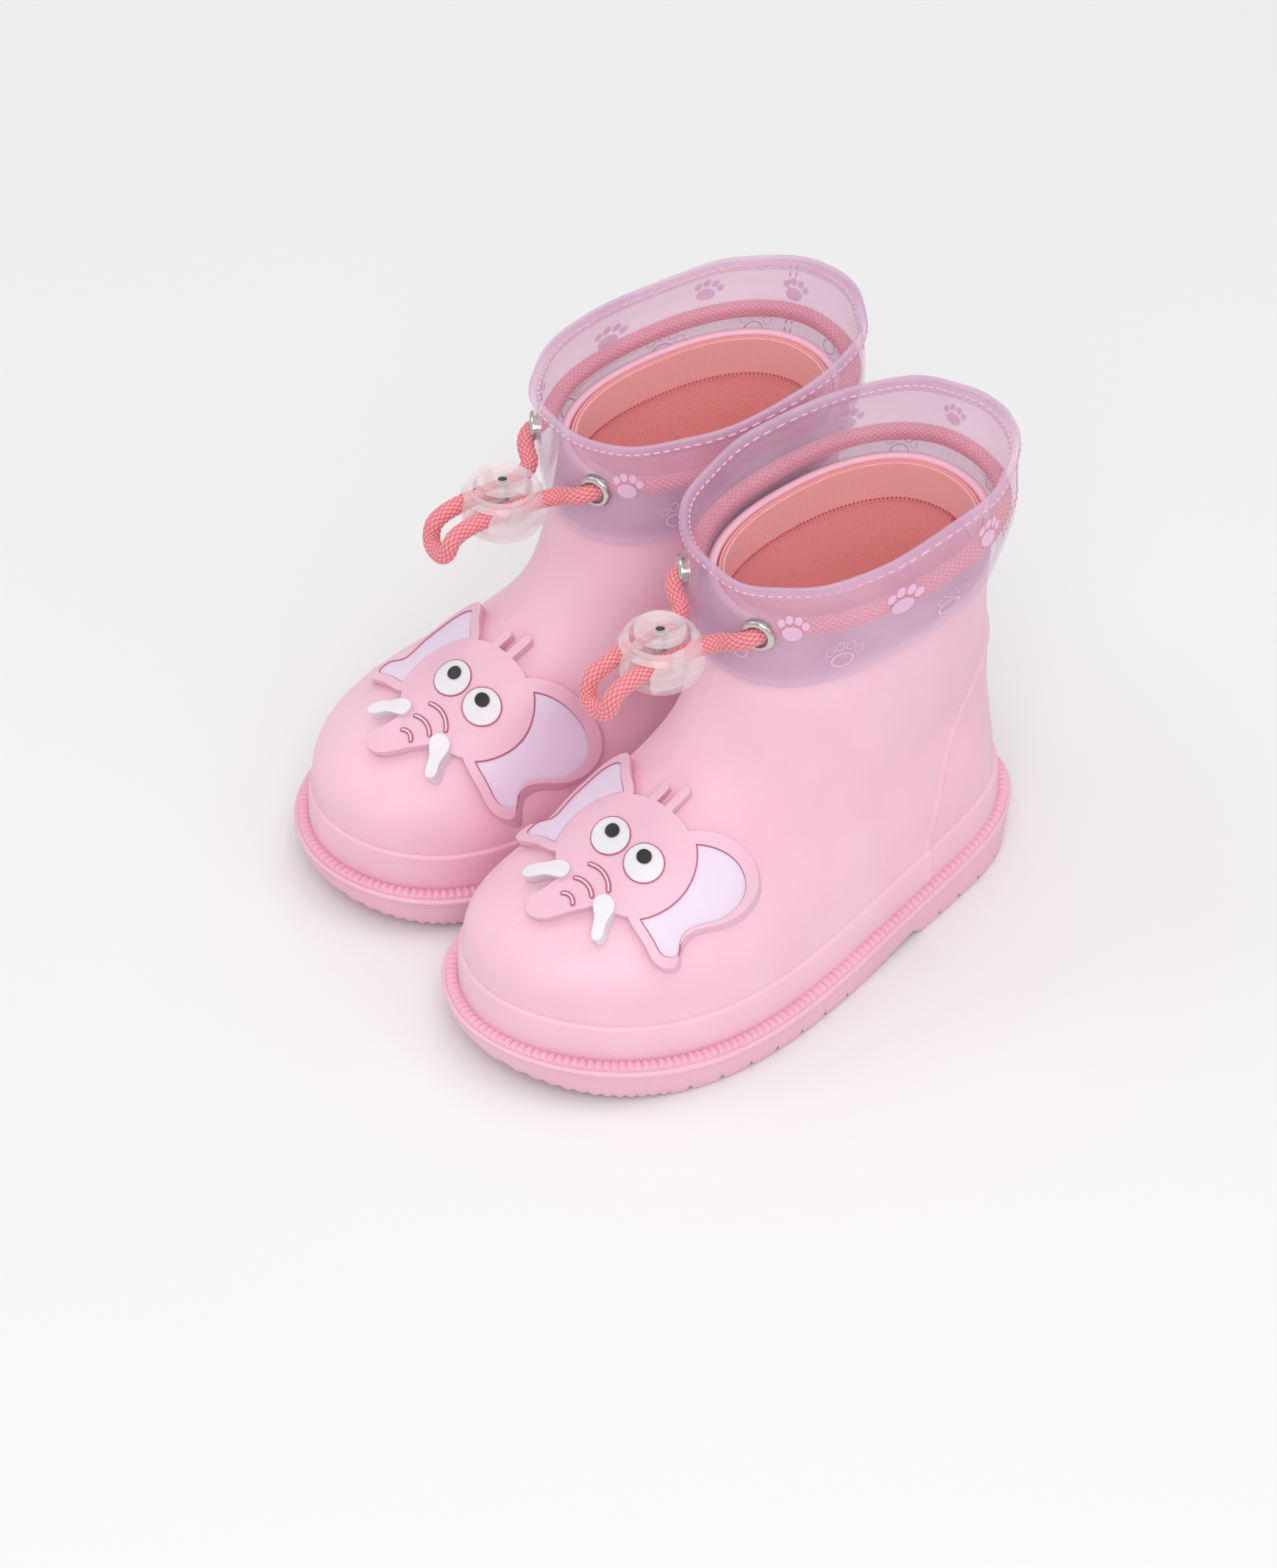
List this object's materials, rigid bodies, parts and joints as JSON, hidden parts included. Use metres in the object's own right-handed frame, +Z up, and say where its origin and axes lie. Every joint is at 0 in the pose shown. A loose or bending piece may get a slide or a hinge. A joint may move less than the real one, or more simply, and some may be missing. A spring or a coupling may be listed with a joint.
{
  "type": "pair of children's rain boots",
  "caption": "Pair of ankle-high moulded rain boots with a knitted lining, a transparent film cuff, a drawstring with a sprung cord lock and a raised animal face on each toe.",
  "frame": {"origin": "bottom centre of the bounding box, on the ground between the two boots", "axes": "+Z up; the toes point along -Y; the left boot is at +X and the right boot at -X"},
  "size_m": [0.1556, 0.1674, 0.1331],
  "materials": {
    "outsole_pvc": "matte",
    "welt_pvc": "matte",
    "insole_textile": "matte",
    "shell_pvc": "matte",
    "lining_knit": "matte",
    "facing_knit": "matte",
    "motif_pink": "matte",
    "motif_lilac": "matte",
    "motif_white": "satin",
    "motif_black": "satin",
    "cuff_film": "frosted",
    "nickel": "polished",
    "cord": "matte",
    "lock_clear": "clear gloss",
    "spring_steel": "satin"
  },
  "bodies": {
    "right_boot": {"right_outsole": "outsole_pvc", "right_welt": "welt_pvc", "right_insole": "insole_textile", "right_shell": "shell_pvc", "right_lining": "lining_knit", "right_lining_facing": "facing_knit", "right_motif_patch": "motif_pink", "right_motif_ear_inlays": "motif_lilac", "right_motif_eyes": "motif_white", "right_motif_pupils": "motif_black", "right_motif_tusks": "motif_white", "right_motif_trunk_wrinkles": "motif_white", "right_cuff_outer_ply": "cuff_film", "right_cuff_inner_ply": "cuff_film", "right_eyelets": "nickel", "right_eyelet_washers": "nickel", "right_drawstring": "cord", "right_drawstring_front": "cord"},
    "right_cord_lock": {"right_cord_lock_body": "lock_clear", "right_cord_lock_spring": "spring_steel"},
    "right_lock_button": {"right_cord_lock_button": "lock_clear"},
    "left_boot": {"left_outsole": "outsole_pvc", "left_welt": "welt_pvc", "left_insole": "insole_textile", "left_shell": "shell_pvc", "left_lining": "lining_knit", "left_lining_facing": "facing_knit", "left_motif_patch": "motif_pink", "left_motif_ear_inlays": "motif_lilac", "left_motif_eyes": "motif_white", "left_motif_pupils": "motif_black", "left_motif_tusks": "motif_white", "left_motif_trunk_wrinkles": "motif_white", "left_cuff_outer_ply": "cuff_film", "left_cuff_inner_ply": "cuff_film", "left_eyelets": "nickel", "left_eyelet_washers": "nickel", "left_drawstring": "cord", "left_drawstring_front": "cord"},
    "left_cord_lock": {"left_cord_lock_body": "lock_clear", "left_cord_lock_spring": "spring_steel"},
    "left_lock_button": {"left_cord_lock_button": "lock_clear"}
  },
  "joints": [
    {"name": "left_boot_lift", "type": "slide", "parent": "right_boot", "child": "left_boot", "axis": [0, 0, 1], "range_m": [0, 0.25]},
    {"name": "left_cord_lock_slide", "type": "slide", "parent": "left_boot", "child": "left_cord_lock", "axis": [-0.0489, 0.9988, 0], "range_m": [-0.0015, 0]},
    {"name": "left_lock_button_press", "type": "slide", "parent": "left_cord_lock", "child": "left_lock_button", "axis": [0, 0, 1], "range_m": [-0.003, 0], "stiffness_N_per_m": 600, "springref_m": 0.003, "deforming": ["left_cord_lock_spring"]},
    {"name": "right_cord_lock_slide", "type": "slide", "parent": "right_boot", "child": "right_cord_lock", "axis": [0.0489, 0.9988, 0], "range_m": [-0.0015, 0]},
    {"name": "right_lock_button_press", "type": "slide", "parent": "right_cord_lock", "child": "right_lock_button", "axis": [0, 0, 1], "range_m": [-0.003, 0], "stiffness_N_per_m": 600, "springref_m": 0.003, "deforming": ["right_cord_lock_spring"]}
  ]
}
